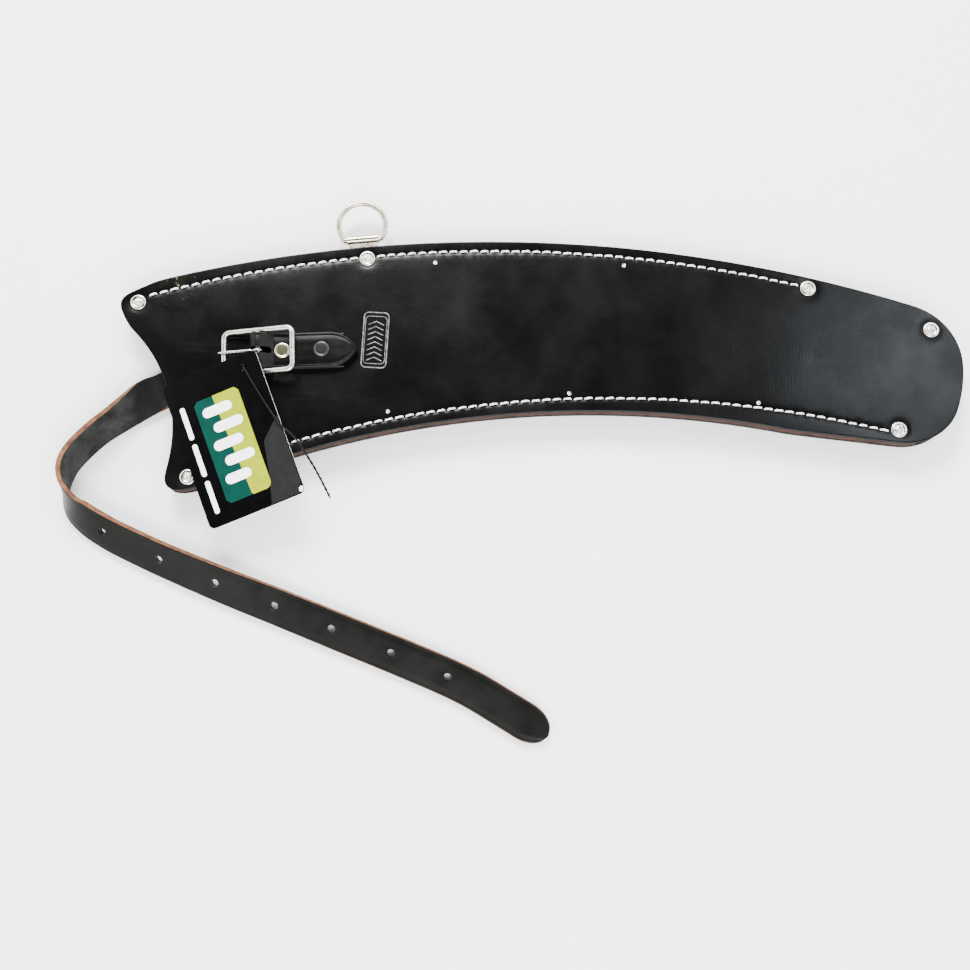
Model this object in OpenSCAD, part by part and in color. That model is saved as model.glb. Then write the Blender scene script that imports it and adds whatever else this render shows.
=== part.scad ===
// Curved hand-saw scabbard with a leather leg strap, a centre-bar buckle and a dee ring.
// It lies flat on its back. Z = 0 is the surface it lies on, +X runs from the mouth to the tip,
// and +Y points to the outer, convex edge that carries the dee ring.

/* [Panels and welts] */
// Thickness of the front and the back panel
panel_t = 3.0; // [2.4:0.1:3.4]
// Thickness of the leather welts, which is the depth of the blade pocket
welt_t = 5.0; // [4.8:0.1:6.0]
// Width of the welt along the convex edge
upper_welt_w = 14; // [13:0.5:16]
// Width of the welt along the concave edge
lower_welt_w = 14; // [13:0.5:16]

/* [Leather strap] */
// Width of the leg strap
strap_w = 19; // [17:0.5:19]
// Thickness of the leg strap
strap_t = 3.6; // [3.0:0.1:3.6]
// Distance between the buckle holes
hole_pitch = 31.5; // [28:0.25:33]
// Diameter of the buckle holes
hole_d = 4.3; // [3.5:0.1:5]

/* [Stitching] */
// Distance from one stitch to the next
stitch_pitch = 5.4; // [4.5:0.1:7]
// Length of one stitch on the surface
stitch_l = 3.9; // [3:0.1:4.2]
// Width of the thread
thread_w = 1.3; // [0.8:0.1:1.6]

/* [Rivets and nails] */
// Diameter of the rivet caps
cap_d = 8.2; // [7:0.1:9]
// Height of the rivet caps
cap_h = 1.2; // [0.8:0.1:1.4]
// Diameter of the rivet shanks
shank_d = 3.0; // [2.4:0.1:3.2]
// Diameter of the tack nail heads
tack_d = 2.0; // [1.6:0.1:2.4]

/* [Dee ring] */
// Wire diameter of the dee ring
dee_wire_d = 2.8; // [2.4:0.1:3.0]
// Centreline radius of the dee ring's bow
dee_bow_r = 12.4; // [11:0.1:14]
// Distance from the dee ring's straight bar to the centre of its bow
dee_bow_h = 8.0; // [7:0.1:9]
// Sheet thickness of the dee clip
clip_t = 0.8; // [0.6:0.1:0.9]

/* [Buckle] */
// Outer length of the buckle frame
buckle_l = 39.5; // [38:0.5:42]
// Outer width of the buckle frame
buckle_w = 24.9; // [24.5:0.1:27]
// Wire diameter of the buckle frame
buckle_wire_d = 2.8; // [2.6:0.1:2.8]
// Thickness of the chape leather, which is folded double
chape_t = 2.0; // [1.8:0.1:2.0]
// Width of the chape
chape_w = 18.6; // [17:0.1:18.8]
// Length of the chape from the buckle bar to its point
chape_l = 50.5; // [48:0.5:54]

/* [Hang tag] */
// Width of the card
tag_w = 52; // [45:0.5:55]
// Height of the card
tag_h = 78.5; // [70:0.5:82]
// Thickness of the card
tag_t = 0.6; // [0.4:0.1:0.8]
// Diameter of the plastic tag fastener
fastener_d = 1.2; // [1:0.1:1.4]

/* [Hidden] */

$fn = 48;
eps = 0.01;
fit_gap = 0.05;
arc_steps = 24;

// Levels, from the resting surface up
rivet_foot = 1.0;
back_z = rivet_foot + strap_t;
pocket_z = back_z + panel_t;
front_z = pocket_z + welt_t;
face_z = front_z + panel_t;
mid_z = pocket_z + welt_t / 2;

// Outline of the panels: arcs as [centre, radius]
top_arc = [[-10.5, -588.5], 705];
bottom_arc = [[41.5, -500], 525];
mouth_arc = [[-249, 13], 77.5];
tip_upper_arc = [[200.5, 49.5], 33];
tip_side_arc = [[160.5, 51], 73];
tip_lower_arc = [[202.5, 37.5], 29.5];
mouth_upper_arc = [[-197, 82.5], 5.5];
mouth_lower_arc = [[-169.5, -11], 5.5];

// Rows of stitching, as [centre, radius]
upper_row = [[-8, -561.5], 672.5];
lower_row = [[51.5, -551.5], 583];

// Fasteners
dee_rivet = [-74, 107];
upper_rivets = [[-192.5, 83], dee_rivet, [155.5, 90.5]];
lower_rivets = [[-162.5, -9.5], [198, 15]];
tip_rivet = [218, 68];
edge_rivet_places = concat(upper_rivets, lower_rivets, [tip_rivet]);
upper_tacks = [[-38.5, 104.5], [60, 103]];
lower_tacks = [[-62, 24.5], [30.5, 34], [127, 29]];
shank_hole_d = shank_d + 0.2;
tack_shank_d = 1.0;
tack_hole_d = 1.1;
tack_l = 6.5;
burr_t = 0.6;
burr_d = cap_d - 1.2;
inner_head_h = 0.8;

// Dee ring and its clip
dee_place = [-77, 119.7];
dee_turn = 5;
dee_corner_r = 1.8;
dee_corner_y = dee_corner_r;
dee_corner_x = sqrt(pow(dee_bow_r - dee_corner_r, 2) - pow(dee_bow_h - dee_corner_r, 2));
dee_bow_start = -asin((dee_bow_h - dee_corner_r) / (dee_bow_r - dee_corner_r));
clip_l = 2 * dee_corner_x - 0.6;
clip_tail_w = 14;
clip_tail_l = 19;
clip_inner_r = dee_wire_d / 2 + fit_gap;

// Buckle and chape
buckle_place = [-128.5, 55.2];
buckle_turn = 2.2;
bar_z = face_z + 4.8;
buckle_bar_x = (buckle_l - buckle_wire_d) / 2;
buckle_side_y = (buckle_w - buckle_wire_d) / 2;
buckle_corner_r = 3;
buckle_tilt = asin((bar_z - face_z - buckle_wire_d / 2 - fit_gap) / buckle_bar_x);
tongue_d = 2.0;
tongue_w = 2.6;
tongue_eye_r = 2.6;
tongue_l = buckle_bar_x + 2.4;
tongue_rise = atan((buckle_wire_d / 2 + tongue_d / 2 + fit_gap) / buckle_bar_x);
fold_inner_r = 2.3;
fold_z = face_z + chape_t + fold_inner_r;
fold_outer_r = fold_inner_r + chape_t;
chape_nose_r = 16;
chape_slot_w = 3.4;
chape_slot_l = 7;
chape_under_l = chape_l - 7;
chape_rivet_x = [12.3, 32.3];

// Hang tag: the place of its hole, its turn in plan, and the slope and sideways lean of the card
tag_hole = [-134.2, 45];
tag_hole_z = face_z + 9.7;
tag_turn = 20.8;
tag_slope = 1.5;
tag_lean = 9;
tag_hole_in = [8.4, 7];
tag_hole_d = 4;
tag_corner_r = 3;

// The fastener loops round the buckle frame's near side bar and its barbed tail lies over the card
fastener_loop = [
    [-134.2, 45.9, 26.6], [-134.3, 46.1, 25.2], [-134.6, 46.8, 22.5], [-134.8, 46.8, 19.5],
    [-134.9, 46.0, 17.5], [-134.9, 44.0, 16.9], [-134.8, 41.9, 17.5], [-134.7, 41.0, 19.6],
    [-134.5, 41.7, 22.2], [-134.3, 43.6, 24.6], [-134.2, 44.1, 26.4]];
fastener_tail = [
    [-134.2, 44.2, 26.2], [-133.3, 43.2, 27.4], [-124.2, 28.5, 27.2], [-115.2, 15.6, 27.4],
    [-107.2, 8.1, 26.6], [-100.8, -1.1, 24], [-96, -9.1, 21.2], [-89.9, -20.8, 18]];
barb_pitch = 6;

// The strap's route along its lower edge: [x, y, lean, lift]. The lean is the angle from
// upright to the left of the path, and the lift is the height of the lower edge over the floor.
strap_route = [
    [-117, 63.2, -90, 1.0], [-135, 53.2, -90, 1.0], [-153, 43.2, -90, 1.0],
    [-171, 33.2, -90, 1.0], [-177.5, 29.8, -89, 0.9], [-184.5, 26.2, -66, 0.4],
    [-191.5, 22.8, -42, 0], [-199.5, 18.3, -29, 0], [-209.5, 11.8, -22, 0], [-220, 1.6, -18, 0],
    [-225.7, -6, -6, 0], [-228.5, -15.2, 16, 0], [-226.3, -26.6, 37, 0],
    [-218.5, -35.7, 47, 0], [-206.5, -43.8, 52, 0], [-194, -50.2, 54, 0],
    [-177.4, -58, 56, 0], [-146.7, -71.5, 64, 0], [-116.4, -83.9, 73, 0],
    [-85, -96.8, 78, 0], [-54, -109.4, 80, 0], [-27, -121.2, 82, 0],
    [-5.6, -133.7, 85, 0], [13.7, -145.7, 88, 0]];
route_steps = 6;
strap_edge_r = 0.6;
hinge_station = 136.4;
hinge_gap = 0.5;
bend_end = 220;
strap_nose_l = 14;
first_hole_back = 57.5;
hole_count = 8;
ring_step = 4.5;
strap_rivet_stations = [22, 52];

// ---------------------------------------------------------------- helpers

function arc_points(arc, a0, a1, n) =
    [for (i = [0:n]) arc[0] + arc[1] * [cos(a0 + (a1 - a0) * i / n), sin(a0 + (a1 - a0) * i / n)]];

// Angle on an arc at which it reaches a given x
function angle_at(arc, x) = acos((x - arc[0][0]) / arc[1]);

function unit(v) = v / norm(v);

function panel_outline() = concat(
    arc_points(mouth_upper_arc, 195, 105, 6),
    arc_points(top_arc, angle_at(top_arc, -183), angle_at(top_arc, 209), arc_steps),
    arc_points(tip_upper_arc, 70, 2, 8),
    arc_points(tip_side_arc, -1, -24, 4),
    arc_points(tip_lower_arc, -38, -95, 7),
    arc_points(bottom_arc, angle_at(bottom_arc, 144), angle_at(bottom_arc, -161), arc_steps),
    arc_points(mouth_lower_arc, -95, -180, 6),
    arc_points(mouth_arc, -15, 48, 12));

module outline_plate(z, t) {
    translate([0, 0, z])
        linear_extrude(t)
            polygon(panel_outline());
}

module drill(places, d, z0, z1) {
    for (p = places)
        translate([p[0], p[1], z0 - eps])
            cylinder(d = d, h = z1 - z0 + 2 * eps);
}

// A rivet: domed cap on top, shank, and a peened end under the burr
module rivet(top_z, bottom_z, head_h) {
    translate([0, 0, top_z])
        intersection() {
            cylinder(d = cap_d, h = head_h);
            translate([0, 0, head_h - 12])
                sphere(r = 12, $fn = 64);
        }
    translate([0, 0, bottom_z - 0.4])
        cylinder(d = shank_d, h = top_z - bottom_z + 0.4 + eps);
}

// A burr: the washer that the rivet's shank is peened over
module burr(z) {
    translate([0, 0, z])
        difference() {
            cylinder(d = burr_d, h = burr_t);
            translate([0, 0, -eps])
                cylinder(d = shank_hole_d, h = burr_t + 2 * eps);
        }
}

module stitch(z) {
    translate([-stitch_l / 2, -thread_w / 2, z])
        cube([stitch_l, thread_w, thread_w / 2]);
}

// A row of stitches along an arc, on both faces, from x0 to x1
module stitch_row(arc, x0, x1) {
    a0 = angle_at(arc, x0);
    a1 = angle_at(arc, x1);
    count = floor((a0 - a1) * PI / 180 * arc[1] / stitch_pitch);
    for (i = [0:count]) {
        a = a0 + (a1 - a0) * i / count;
        translate([arc[0][0] + arc[1] * cos(a), arc[0][1] + arc[1] * sin(a), 0])
            rotate(a - 90) {
                stitch(face_z);
                stitch(back_z - thread_w / 2);
            }
    }
}

// A closed tube or ribbon through a list of rings with the same number of points
module skin(rings) {
    n = len(rings[0]);
    last = len(rings) - 1;
    polyhedron(
        points = [for (r = rings) for (p = r) p],
        faces = concat(
            [[for (j = [0:n - 1]) j]],
            [for (i = [0:last - 1]) for (j = [0:n - 1])
                [i * n + j, (i + 1) * n + (j + 1) % n, i * n + (j + 1) % n]],
            [for (i = [0:last - 1]) for (j = [0:n - 1])
                [i * n + j, (i + 1) * n + j, (i + 1) * n + (j + 1) % n]],
            [[for (j = [n - 1:-1:0]) last * n + j]]),
        convexity = 8);
}

// Catmull-Rom curve through a list of points
function curve_at(p, i, t) =
    let (a = p[max(i - 1, 0)], b = p[i], c = p[i + 1], d = p[min(i + 2, len(p) - 1)])
    0.5 * (2 * b + (c - a) * t + (2 * a - 5 * b + 4 * c - d) * t * t
        + (3 * b - a - 3 * c + d) * t * t * t);

function curve(p, steps) = concat(
    [for (i = [0:len(p) - 2]) for (k = [0:steps - 1]) curve_at(p, i, k / steps)],
    [p[len(p) - 1]]);

// Running length at each point of a path
function lengths(p) = [for (i = 0, s = 0; i < len(p);
    s = s + (i < len(p) - 1 ? norm(p[i + 1] - p[i]) : 0), i = i + 1) s];

// ---------------------------------------------------------------- strap geometry

route = curve(strap_route, route_steps);

function heading(i) =
    let (a = route[max(i - 1, 0)], b = route[min(i + 1, len(route) - 1)])
    unit([b[0] - a[0], b[1] - a[1]]);

// Width direction of the strap, from its lower to its upper edge
function width_dir(i) =
    let (h = heading(i), lean = route[i][2])
    [-h[1] * sin(lean), h[0] * sin(lean), cos(lean)];

// Thickness direction of the strap, towards its inner face
function inward_dir(i) =
    let (h = heading(i), lean = route[i][2])
    [-h[1] * cos(lean), h[0] * cos(lean), -sin(lean)];

strap_mid = [for (i = [0:len(route) - 1])
    let (lean = route[i][2])
    [route[i][0], route[i][1], route[i][3] + strap_t / 2 * abs(sin(lean))] + strap_w / 2 * width_dir(i)];
strap_s = lengths(strap_mid);
strap_len = strap_s[len(strap_s) - 1];

function table(column) = [for (i = [0:len(strap_s) - 1]) [strap_s[i], column[i]]];

mid_x = table([for (p = strap_mid) p[0]]);
mid_y = table([for (p = strap_mid) p[1]]);
mid_h = table([for (p = strap_mid) p[2]]);
wide_x = table([for (i = [0:len(route) - 1]) width_dir(i)[0]]);
wide_y = table([for (i = [0:len(route) - 1]) width_dir(i)[1]]);
wide_h = table([for (i = [0:len(route) - 1]) width_dir(i)[2]]);
deep_x = table([for (i = [0:len(route) - 1]) inward_dir(i)[0]]);
deep_y = table([for (i = [0:len(route) - 1]) inward_dir(i)[1]]);
deep_h = table([for (i = [0:len(route) - 1]) inward_dir(i)[2]]);

function mid_at(s) = [lookup(s, mid_x), lookup(s, mid_y), lookup(s, mid_h)];
function wide_at(s) = unit([lookup(s, wide_x), lookup(s, wide_y), lookup(s, wide_h)]);
function deep_at(s) = unit([lookup(s, deep_x), lookup(s, deep_y), lookup(s, deep_h)]);

// Half width of the strap at a station: it rounds off over its nose
function half_width(s) =
    let (d = (s - strap_len + strap_nose_l) / strap_nose_l)
    d <= 0 ? strap_w / 2 : max(strap_w / 2 * sqrt(1 - d * d), 0.8);

// Cross-section of the strap with its eight corners eased
function strap_ring(s) =
    let (m = mid_at(s), w = wide_at(s), d = deep_at(s), a = half_width(s), b = strap_t / 2,
        e = min(strap_edge_r, a / 2))
    [for (c = [[a, e - b], [a - e, -b], [e - a, -b], [-a, e - b], [-a, b - e], [e - a, b], [a - e, b], [a, b - e]])
        m + c[0] * w + c[1] * d];

function stations(s0, s1) =
    let (n = ceil((s1 - s0) / ring_step))
    [for (i = [0:n]) s0 + (s1 - s0) * i / n];

// ---------------------------------------------------------------- body of the scabbard

module front_panel() {
    color([0.06, 0.06, 0.07])
        difference() {
            outline_plate(front_z, panel_t);
            drill(edge_rivet_places, shank_hole_d, front_z, face_z);
            drill(concat(upper_tacks, lower_tacks), tack_hole_d, front_z, face_z);
            chape_frame()
                drill([for (x = chape_rivet_x) [x, 0]], shank_hole_d, front_z, face_z);
        }
}

module back_panel() {
    color([0.09, 0.08, 0.08])
        difference() {
            outline_plate(back_z, panel_t);
            drill(edge_rivet_places, shank_hole_d, back_z, pocket_z);
            drill(strap_rivet_places, shank_hole_d, back_z, pocket_z);
        }
}

module upper_welt() {
    color([0.45, 0.27, 0.15])
        difference() {
            outline_plate(pocket_z, welt_t);
            translate([top_arc[0][0], top_arc[0][1], pocket_z - eps])
                cylinder(r = top_arc[1] - upper_welt_w, h = welt_t + 2 * eps, $fn = 200);
            translate([162, 0, pocket_z - eps])
                rotate(-15)
                    cube([200, 200, welt_t + 2 * eps]);
            translate([162, -200, pocket_z - eps])
                cube([200, 240, welt_t + 2 * eps]);
            translate([-230, -50, pocket_z - eps])
                cube([430, 110, welt_t + 2 * eps]);
            drill(upper_rivets, shank_hole_d, pocket_z, front_z);
            drill(upper_tacks, tack_hole_d, front_z - tack_l + panel_t, front_z);
            dee_frame()
                translate([-clip_tail_w / 2 - 0.2, -clip_tail_l - 0.2, mid_z - clip_t - 0.1])
                    cube([clip_tail_w + 0.4, clip_tail_l, 2 * clip_t + 0.2]);
        }
}

module lower_welt() {
    inner = [bottom_arc[0], bottom_arc[1] + lower_welt_w];
    color([0.55, 0.33, 0.18])
        difference() {
            intersection() {
                outline_plate(pocket_z, welt_t);
                translate([0, 0, pocket_z - eps])
                    linear_extrude(welt_t + 2 * eps)
                        polygon(concat(
                            arc_points(inner, angle_at(inner, -185), angle_at(inner, 144), arc_steps),
                            [[206, 21], [212, 5], [212, -30], [-185, -30]]));
            }
            drill(lower_rivets, shank_hole_d, pocket_z, front_z);
            drill(lower_tacks, tack_hole_d, front_z - tack_l + panel_t, front_z);
        }
}

module tip_spacer() {
    color([0.5, 0.3, 0.16])
        translate([tip_rivet[0], tip_rivet[1], pocket_z])
            difference() {
                cylinder(r = 6.5, h = welt_t);
                translate([0, 0, -eps])
                    cylinder(d = shank_hole_d, h = welt_t + 2 * eps);
            }
}

module upper_stitching() {
    color("white") {
        stitch_row(upper_row, -185, dee_rivet[0] - 7);
        stitch_row(upper_row, dee_rivet[0] + 7, 148.5);
    }
}

module lower_stitching() {
    color("white")
        stitch_row(lower_row, -155, 190.5);
}

module edge_rivets() {
    color("silver")
        for (p = edge_rivet_places)
            translate(p)
                rivet(face_z, back_z - burr_t, cap_h);
}

module edge_burrs() {
    color("silver")
        for (p = edge_rivet_places)
            translate(p)
                burr(back_z - burr_t);
}

module tack_nails() {
    color("gray")
        for (p = concat(upper_tacks, lower_tacks))
            translate([p[0], p[1], face_z]) {
                cylinder(d = tack_d, h = 0.4);
                translate([0, 0, -tack_l + 0.2])
                    cylinder(d = tack_shank_d, h = tack_l);
            }
}

// ---------------------------------------------------------------- dee ring and clip

// Places its children with the dee ring's bar along X through the origin
module dee_frame() {
    translate(dee_place)
        rotate(dee_turn)
            children();
}

module dee_clip() {
    color("silver")
        dee_frame()
            difference() {
                union() {
                    translate([-clip_l / 2, 0, mid_z])
                        rotate([0, 90, 0])
                            cylinder(r = clip_inner_r + clip_t, h = clip_l);
                    translate([-clip_tail_w / 2, -clip_tail_l, mid_z - clip_t])
                        cube([clip_tail_w, clip_tail_l, 2 * clip_t]);
                }
                translate([-clip_l / 2 - 1, 0, mid_z])
                    rotate([0, 90, 0])
                        cylinder(r = clip_inner_r, h = clip_l + 2);
                rotate(-dee_turn)
                    translate(dee_rivet - dee_place)
                        translate([0, 0, mid_z - 2])
                            cylinder(d = shank_hole_d, h = 4);
            }
}

// A bent length of round wire: radius of the bend, start angle and sweep
module wire_bend(r, start, sweep, d) {
    rotate(start)
        rotate_extrude(angle = sweep)
            translate([r, 0])
                circle(d = d);
}

module dee_ring() {
    lap = 1.5;
    corner_start = -90 - lap;
    corner_sweep = 90 + dee_bow_start + 2 * lap;
    corner_d = dee_wire_d - 0.02;
    color("silver")
        dee_frame()
            translate([0, 0, mid_z]) {
                translate([0, dee_bow_h, 0])
                    wire_bend(dee_bow_r, dee_bow_start, 180 - 2 * dee_bow_start, dee_wire_d);
                translate([dee_corner_x, dee_corner_y, 0])
                    wire_bend(dee_corner_r, corner_start, corner_sweep, corner_d);
                translate([-dee_corner_x, dee_corner_y, 0])
                    wire_bend(dee_corner_r, 180 - corner_start - corner_sweep, corner_sweep, corner_d);
                translate([-dee_corner_x, 0, 0])
                    rotate([0, 90, 0])
                        cylinder(d = dee_wire_d, h = 2 * dee_corner_x);
            }
}

// ---------------------------------------------------------------- chape and buckle

// Places its children with the buckle's bar over the origin and the chape along +X
module chape_frame() {
    translate(buckle_place)
        rotate(buckle_turn)
            children();
}

// The folded strip seen from the side: X along it, Y up
module chape_profile() {
    join_x = 7.6;
    difference() {
        union() {
            translate([0, fold_z])
                circle(r = fold_outer_r);
            polygon([[0, face_z], [chape_under_l, face_z], [chape_under_l, face_z + chape_t],
                [chape_l, face_z + chape_t], [chape_l, face_z + 2 * chape_t],
                [join_x, face_z + 2 * chape_t],
                [fold_outer_r * cos(53), fold_z + fold_outer_r * sin(53)]]);
        }
        translate([0, fold_z])
            circle(r = fold_inner_r);
        polygon([[0, face_z + chape_t], [join_x - 2, face_z + chape_t],
            [fold_inner_r * cos(45), fold_z + fold_inner_r * sin(45)]]);
    }
}

// Plan of the chape: straight sides and a pointed nose made of two arcs
function chape_plan() =
    let (half = chape_w / 2, nose_x = chape_l - sqrt(pow(chape_nose_r, 2) - pow(chape_nose_r - half, 2)),
        nose_a = acos((chape_l - nose_x) / chape_nose_r))
    concat(
        [[-10, -half]],
        arc_points([[nose_x, chape_nose_r - half], chape_nose_r], -90, -nose_a, 8),
        arc_points([[nose_x, half - chape_nose_r], chape_nose_r], nose_a, 90, 8),
        [[-10, half]]);

module chape() {
    color([0.1, 0.09, 0.09])
        chape_frame()
            difference() {
                intersection() {
                    translate([0, 20, 0])
                        rotate([90, 0, 0])
                            linear_extrude(40)
                                chape_profile();
                    translate([0, 0, face_z - 1])
                        linear_extrude(20)
                            polygon(chape_plan());
                }
                translate([-10, -chape_slot_w / 2, face_z + chape_t + 0.1])
                    cube([10 + chape_slot_l, chape_slot_w, 20]);
                drill([for (x = chape_rivet_x) [x, 0]], shank_hole_d, face_z - 1, face_z + 10);
            }
}

module chape_rivets() {
    color("silver")
        chape_frame()
            for (x = chape_rivet_x)
                translate([x, 0, 0])
                    rivet(face_z + 2 * chape_t, front_z - inner_head_h + 0.3, cap_h - 0.2);
}

module chape_burrs() {
    color("silver")
        chape_frame()
            for (x = chape_rivet_x)
                translate([x, 0, 0])
                    burr(front_z - burr_t);
}

// Places its children at the buckle's bar, tilted so that its left end rests on the panel
module buckle_pose() {
    chape_frame()
        translate([0, 0, bar_z])
            rotate([0, -buckle_tilt, 0])
                children();
}

module rod_y(x, length) {
    translate([x, length / 2, 0])
        rotate([90, 0, 0])
            cylinder(d = buckle_wire_d, h = length);
}

module buckle_frame() {
    r = buckle_corner_r;
    color("silver")
        buckle_pose() {
            for (side = [-1, 1]) {
                rod_y(side * buckle_bar_x, 2 * (buckle_side_y - r));
                translate([-buckle_bar_x + r, side * buckle_side_y, 0])
                    rotate([0, 90, 0])
                        cylinder(d = buckle_wire_d, h = 2 * (buckle_bar_x - r));
            }
            rod_y(0, 2 * buckle_side_y);
            for (quarter = [0:3]) {
                sx = (quarter == 0 || quarter == 3) ? 1 : -1;
                sy = quarter < 2 ? 1 : -1;
                translate([sx * (buckle_bar_x - r), sy * (buckle_side_y - r), 0])
                    wire_bend(r, 90 * quarter, 90, buckle_wire_d);
            }
        }
}

module buckle_tongue() {
    color("silver")
        buckle_pose()
            difference() {
                union() {
                    translate([0, tongue_w / 2, 0])
                        rotate([90, 0, 0])
                            cylinder(r = tongue_eye_r, h = tongue_w);
                    rotate([0, tongue_rise, 0])
                        rotate([0, -90, 0])
                            cylinder(d = tongue_d, h = tongue_l);
                }
                translate([0, 5, 0])
                    rotate([90, 0, 0])
                        cylinder(d = buckle_wire_d + 2 * fit_gap, h = 10);
            }
}

// ---------------------------------------------------------------- strap

function strap_point(s) = let (m = mid_at(s)) [m[0], m[1]];

strap_rivet_places = [for (s = strap_rivet_stations) strap_point(s)];

module strap_upper() {
    color([0.13, 0.12, 0.12])
        difference() {
            skin([for (s = stations(0, hinge_station - strap_t / 2 - hinge_gap)) strap_ring(s)]);
            drill(strap_rivet_places, shank_hole_d, 0, back_z + 1);
        }
}

// The punched holes whose stations lie between s0 and s1
module punch(s0, s1) {
    for (k = [0:hole_count - 1]) {
        s = strap_len - first_hole_back - k * hole_pitch;
        d = deep_at(s);
        if (s > s0 && s < s1)
            translate(mid_at(s))
                rotate([0, acos(d[2]), atan2(d[1], d[0])])
                    cylinder(d = hole_d, h = strap_t * 3, center = true, $fn = 20);
    }
}

// The free end turns about an upright axis where the strap stands on edge at its bend
module strap_bend() {
    color([0.16, 0.14, 0.13])
        difference() {
            union() {
                skin([for (s = stations(hinge_station, bend_end)) strap_ring(s)]);
                translate([mid_at(hinge_station)[0], mid_at(hinge_station)[1], 0.3])
                    cylinder(d = strap_t, h = strap_w - 0.6);
            }
            punch(hinge_station, bend_end);
        }
}

module strap_lower() {
    color([0.13, 0.12, 0.12])
        difference() {
            skin([for (s = stations(bend_end, strap_len)) strap_ring(s)]);
            punch(bend_end, strap_len);
        }
}

module strap_rivets() {
    color("silver")
        for (p = strap_rivet_places)
            translate(p)
                rivet(pocket_z, rivet_foot - burr_t, inner_head_h);
}

module strap_burrs() {
    color("silver")
        for (p = strap_rivet_places)
            translate(p)
                burr(rivet_foot - burr_t - fit_gap);
}

// ---------------------------------------------------------------- hang tag

// Places its children with the card's hole at the origin and the card in the XY plane
module tag_frame() {
    translate([tag_hole[0], tag_hole[1], tag_hole_z])
        rotate(tag_turn)
            rotate([tag_slope, 0, 0])
                rotate([0, -tag_lean, 0])
                    children();
}

module hang_tag() {
    right = tag_hole_in[0];
    top = tag_hole_in[1];
    left = right - tag_w;
    bottom = top - tag_h;
    r = tag_corner_r;
    color([0.07, 0.07, 0.07])
        tag_frame()
            difference() {
                linear_extrude(tag_t)
                    polygon(concat(
                        arc_points([[right - r, top - r], r], 0, 90, 4),
                        arc_points([[left + r, top - r], r], 90, 180, 4),
                        arc_points([[left + r, bottom + r], r], 180, 270, 4),
                        arc_points([[right - r, bottom + r], r], 270, 360, 4)));
                translate([0, 0, -1])
                    cylinder(d = tag_hole_d, h = tag_t + 2);
            }
}

// Rings of a round cord through a list of points
function cord_rings(path, radii, sides) =
    [for (i = [0:len(path) - 1])
        let (t = unit(path[min(i + 1, len(path) - 1)] - path[max(i - 1, 0)]),
            u = unit(cross(t, [0.3, 0.2, 1])), v = cross(t, u))
        [for (k = [0:sides - 1]) path[i] + radii[i] * (cos(360 * k / sides) * u + sin(360 * k / sides) * v)]];

module tag_fastener() {
    loop = curve(fastener_loop, 2);
    tail = curve(fastener_tail, 4);
    run = lengths(tail);
    thick = [for (s = run) (s > 22 && s % barb_pitch < barb_pitch / 3) ? 0.75 * fastener_d : fastener_d / 2];
    color([0.08, 0.08, 0.08]) {
        skin(cord_rings(loop, [for (p = loop) fastener_d / 2], 8));
        skin(cord_rings(tail, thick, 8));
    }
}

// ---------------------------------------------------------------- nodes

front_panel();
back_panel();
upper_welt();
lower_welt();
tip_spacer();
upper_stitching();
lower_stitching();
edge_rivets();
edge_burrs();
tack_nails();
dee_clip();
dee_ring();
chape();
chape_rivets();
chape_burrs();
buckle_frame();
buckle_tongue();
strap_upper();
strap_bend();
strap_lower();
strap_rivets();
strap_burrs();
hang_tag();
tag_fastener();
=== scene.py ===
"""Curved hand saw scabbard with a leather leg strap, buckle, dee ring and hang tag."""
import math
import random

import bpy
import numpy as np
from mathutils import Matrix, Vector, noise
from mathutils.geometry import delaunay_2d_cdt


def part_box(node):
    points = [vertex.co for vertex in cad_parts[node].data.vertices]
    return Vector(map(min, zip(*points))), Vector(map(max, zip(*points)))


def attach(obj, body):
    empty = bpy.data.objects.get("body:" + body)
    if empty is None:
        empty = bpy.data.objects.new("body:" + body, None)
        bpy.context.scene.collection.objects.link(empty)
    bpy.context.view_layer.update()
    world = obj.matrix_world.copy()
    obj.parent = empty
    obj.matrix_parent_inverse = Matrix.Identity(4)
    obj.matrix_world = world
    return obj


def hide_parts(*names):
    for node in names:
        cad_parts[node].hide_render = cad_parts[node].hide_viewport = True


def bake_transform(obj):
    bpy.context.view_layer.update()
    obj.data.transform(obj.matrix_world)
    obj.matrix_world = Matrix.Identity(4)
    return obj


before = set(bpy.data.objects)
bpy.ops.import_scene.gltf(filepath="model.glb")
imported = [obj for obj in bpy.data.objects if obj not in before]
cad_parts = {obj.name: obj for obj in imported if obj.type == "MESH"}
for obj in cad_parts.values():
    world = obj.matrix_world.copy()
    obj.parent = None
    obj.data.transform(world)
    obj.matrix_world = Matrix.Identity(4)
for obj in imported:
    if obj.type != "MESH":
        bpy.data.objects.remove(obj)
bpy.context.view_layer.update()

MM = 0.001
rng = random.Random(7)

# ---------------------------------------------------------------- camera, light and world

camera_data = bpy.data.cameras.new("camera")
camera_data.sensor_width = 36.0
camera_data.lens = 44.54
camera = bpy.data.objects.new("camera", camera_data)
camera.location = (-0.0125, -0.129, 0.609)
camera.rotation_euler = (math.radians(11.0), 0.0, 0.0)
bpy.context.scene.collection.objects.link(camera)
bpy.context.scene.camera = camera


def area_light(name, place, target, size, power, colour=(1, 1, 1)):
    data = bpy.data.lights.new(name, "AREA")
    data.shape = "RECTANGLE"
    data.size, data.size_y = size
    data.energy = power
    data.color = colour
    lamp = bpy.data.objects.new(name, data)
    lamp.location = place
    lamp.rotation_euler = (Vector(target) - Vector(place)).to_track_quat("-Z", "Y").to_euler()
    bpy.context.scene.collection.objects.link(lamp)


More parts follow.
